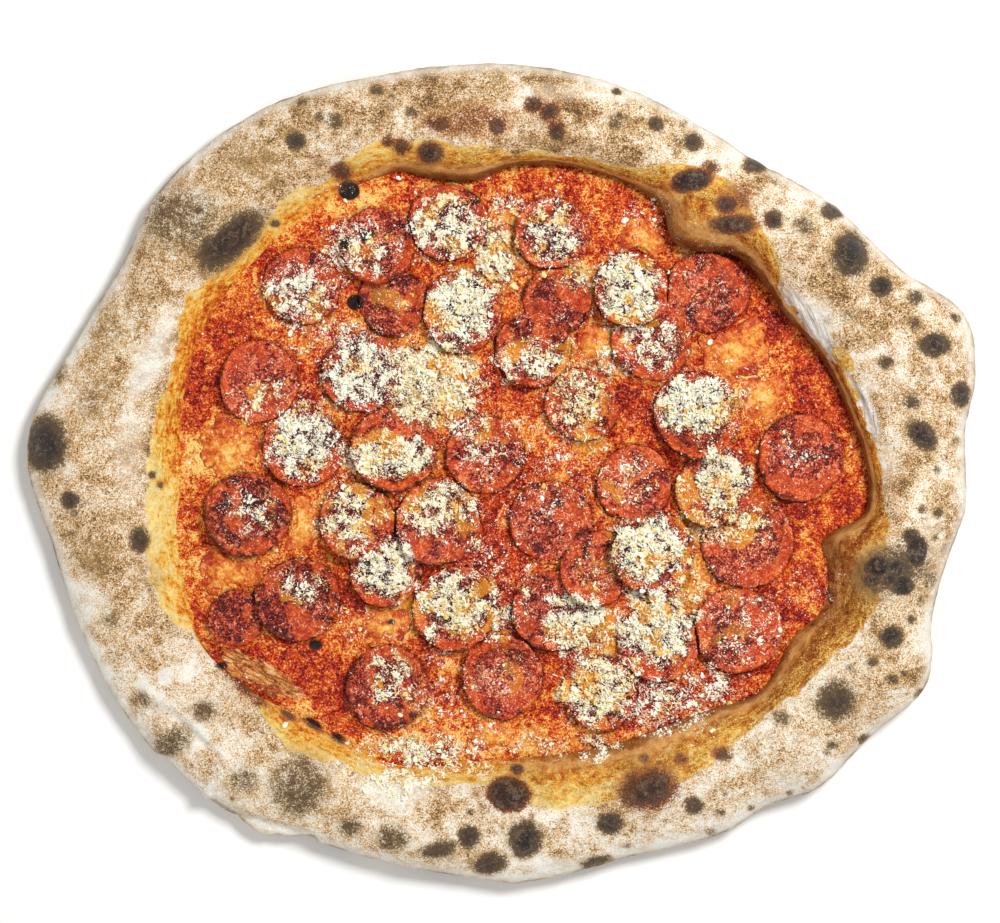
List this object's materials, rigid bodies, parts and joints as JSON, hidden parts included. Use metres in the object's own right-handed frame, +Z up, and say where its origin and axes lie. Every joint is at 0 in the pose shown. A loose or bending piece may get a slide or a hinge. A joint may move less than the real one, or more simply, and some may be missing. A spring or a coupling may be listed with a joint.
{
  "type": "pepperoni pizza",
  "caption": "Whole pepperoni pizza with a wide, puffed and charred rim, tomato sauce, pools of melted cheese, overlapping round slices and grated hard cheese on top.",
  "frame": {"origin": "on the surface the pizza rests on, under the middle of its outline", "axes": "+Z up, +X to the right of the picture along the longest side, +Y to the top of the picture"},
  "size_m": [0.3508, 0.3028, 0.0269],
  "materials": {
    "baked_dough": "matt, floury and blistered with char",
    "tomato_sauce": "wet and oily",
    "melted_cheese": "soft gloss, stained with oil",
    "pepperoni": "oily, with flecks of fat",
    "grated_cheese": "dry and crumbly"
  },
  "bodies": {
    "root": {"crust": "baked_dough", "sauce": "tomato_sauce", "melted_cheese_01": "melted_cheese", "melted_cheese_02": "melted_cheese", "melted_cheese_03": "melted_cheese", "melted_cheese_04": "melted_cheese", "melted_cheese_05": "melted_cheese", "melted_cheese_06": "melted_cheese", "melted_cheese_07": "melted_cheese", "melted_cheese_08": "melted_cheese", "melted_cheese_09": "melted_cheese", "melted_cheese_10": "melted_cheese", "melted_cheese_11": "melted_cheese", "melted_cheese_12": "melted_cheese", "melted_cheese_13": "melted_cheese", "pepperoni_01": "pepperoni", "pepperoni_02": "pepperoni", "pepperoni_03": "pepperoni", "pepperoni_04": "pepperoni", "pepperoni_05": "pepperoni", "pepperoni_06": "pepperoni", "pepperoni_07": "pepperoni", "pepperoni_08": "pepperoni", "pepperoni_09": "pepperoni", "pepperoni_10": "pepperoni", "pepperoni_11": "pepperoni", "pepperoni_12": "pepperoni", "pepperoni_13": "pepperoni", "pepperoni_14": "pepperoni", "pepperoni_15": "pepperoni", "pepperoni_16": "pepperoni", "pepperoni_17": "pepperoni", "pepperoni_18": "pepperoni", "pepperoni_19": "pepperoni", "pepperoni_20": "pepperoni", "pepperoni_21": "pepperoni", "pepperoni_22": "pepperoni", "pepperoni_23": "pepperoni", "pepperoni_24": "pepperoni", "pepperoni_25": "pepperoni", "pepperoni_26": "pepperoni", "pepperoni_27": "pepperoni", "pepperoni_28": "pepperoni", "pepperoni_29": "pepperoni", "pepperoni_30": "pepperoni", "pepperoni_31": "pepperoni", "pepperoni_32": "pepperoni", "pepperoni_33": "pepperoni", "pepperoni_34": "pepperoni", "pepperoni_35": "pepperoni", "pepperoni_36": "pepperoni", "pepperoni_37": "pepperoni", "pepperoni_38": "pepperoni"}
  },
  "joints": []
}
